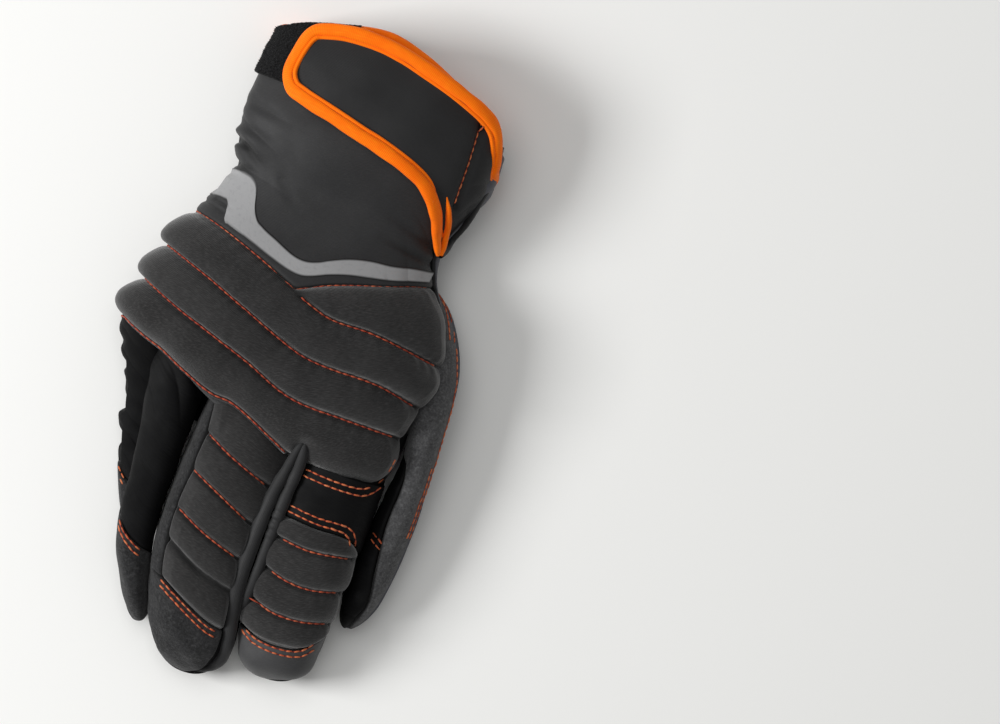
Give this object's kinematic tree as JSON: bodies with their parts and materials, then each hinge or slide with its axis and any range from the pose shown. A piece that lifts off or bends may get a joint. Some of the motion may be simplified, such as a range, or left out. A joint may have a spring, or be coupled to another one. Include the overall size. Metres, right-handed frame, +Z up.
{
  "type": "winter work glove",
  "caption": "Padded winter work glove for the right hand, quilted back, suede palm and fingertips, reflective stripe, orange-bound cuff with a wrap strap.",
  "frame": {"origin": "middle of the glove's outline, on the surface that the glove lies on, palm down", "axes": "+Z up, out of the back of the hand; +Y from the fingertips to the cuff; +X towards the thumb"},
  "size_m": [0.1534, 0.2895, 0.0562],
  "materials": {
    "quilted_softshell": "fine dark grey knit over foam, soft matt",
    "smooth_softshell": "smooth dark grey softshell, slight sheen",
    "black_stretch": "black stretch cloth",
    "palm_suede": "dark grey synthetic suede, pilled",
    "slate_softshell": "blue-grey softshell",
    "orange_tape": "bright orange edge tape",
    "reflective_film": "light grey reflective film",
    "loop_pile": "black fuzzy loop tape",
    "webbing": "black woven webbing"
  },
  "bodies": {
    "root": {"back_pad": "quilted_softshell", "cuff_back": "smooth_softshell", "finger_front": "black_stretch", "index_back": "quilted_softshell", "index_knuckle": "black_stretch", "index_tip": "smooth_softshell", "loop_tape": "loop_pile", "middle_back": "quilted_softshell", "middle_side": "palm_suede", "middle_tip": "palm_suede", "mouth_binding": "orange_tape", "palm_panel": "palm_suede", "palm_patch": "black_stretch", "pinky_back": "black_stretch", "pinky_tip": "palm_suede", "pull_loop": "webbing", "reflective_stripe": "reflective_film", "ring_back": "black_stretch", "ring_tip": "palm_suede", "strap_binding": "orange_tape", "thumb_back": "palm_suede", "thumb_front": "slate_softshell", "thumb_heel": "palm_suede", "thumb_inner": "black_stretch", "wrist_elastic": "palm_suede", "wrist_strap": "smooth_softshell"}
  },
  "joints": []
}
